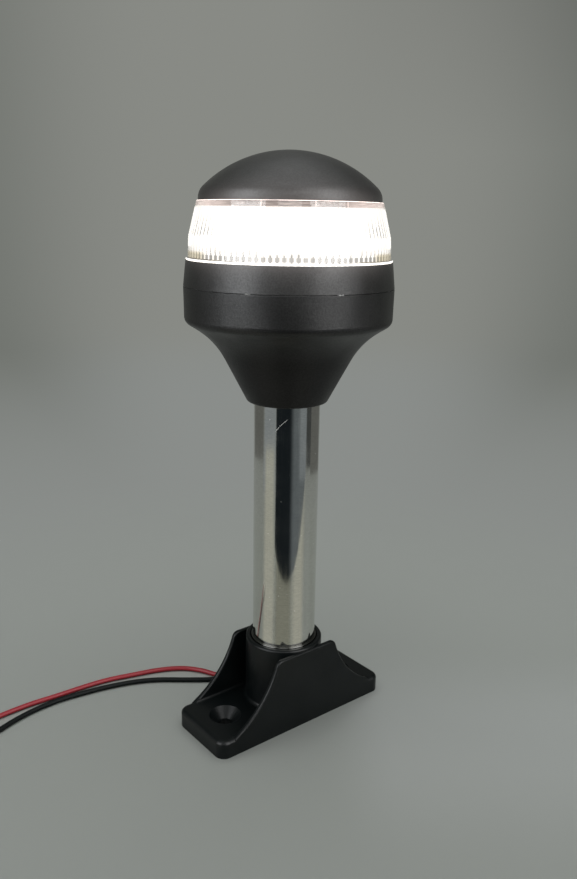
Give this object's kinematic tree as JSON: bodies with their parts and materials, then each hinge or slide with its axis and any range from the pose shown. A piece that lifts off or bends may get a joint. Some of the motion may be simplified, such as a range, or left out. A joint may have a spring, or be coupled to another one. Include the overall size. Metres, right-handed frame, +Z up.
{
  "type": "anchor light",
  "caption": "All-round marine light: domed black cap and fluted clear lens on a bell housing, on a steel pole in a moulded screw-down base, with bare wire leads.",
  "frame": {"origin": "on the mounting surface, under the pole's axis and at the centre of the base", "axes": "+Z up the pole, X along the base through both screw holes, +Y to the side where the leads come out"},
  "size_m": [0.1706, 0.1028, 0.2228],
  "materials": {
    "base_nylon": "satin moulded, fine texture",
    "housing_plastic": "matt moulded, fine spark texture",
    "stainless_tube": "polished, fine drawing lines",
    "clear_lens": "clear, gloss, fluted inside",
    "seal_rubber": "matt",
    "brass_fitting": "turned",
    "bush_plastic": "natural nylon",
    "steel_hardware": "plain",
    "circuit_board": "white solder mask",
    "driver_circuit_board": "green solder mask",
    "led_heat_sink": "turned and anodised",
    "led_emitter": "yellow phosphor",
    "reflector_white": "white, gloss",
    "component_black": "matt",
    "capacitor_can": "bright can",
    "terminal_green": "matt",
    "lead_red": "satin insulation",
    "lead_black": "satin insulation",
    "tinned_copper": "tinned strands"
  },
  "bodies": {
    "root": {"base_bracket": "base_nylon", "pole": "stainless_tube", "pole_lock_ring": "steel_hardware", "foot_bush": "bush_plastic", "foot_threaded_tube": "brass_fitting", "foot_grommet": "seal_rubber", "head_grommet": "seal_rubber", "foot_washer": "steel_hardware", "foot_nut": "brass_fitting", "head_bush": "bush_plastic", "head_threaded_tube": "brass_fitting", "head_washer": "steel_hardware", "head_nut": "brass_fitting", "neck_seal": "seal_rubber", "seam_seal": "seal_rubber", "lens_seal": "seal_rubber", "cap_seal": "seal_rubber", "lower_housing": "housing_plastic", "carrier_ring": "housing_plastic", "dome_cap": "housing_plastic", "lens": "clear_lens", "led_board": "circuit_board", "led_tower": "led_heat_sink", "led_strips": "circuit_board", "leds": "led_emitter", "top_reflector": "reflector_white", "centre_screw": "steel_hardware", "driver_board": "driver_circuit_board", "board_screws": "steel_hardware", "board_header": "component_black", "driver_inductor": "component_black", "driver_capacitors": "capacitor_can", "driver_chips": "component_black", "terminal_block": "terminal_green", "terminal_screws": "steel_hardware", "inner_lead_red": "lead_red", "inner_lead_black": "lead_black", "lead_red": "lead_red", "lead_black": "lead_black", "lead_red_tip": "tinned_copper", "lead_black_tip": "tinned_copper"}
  },
  "joints": []
}
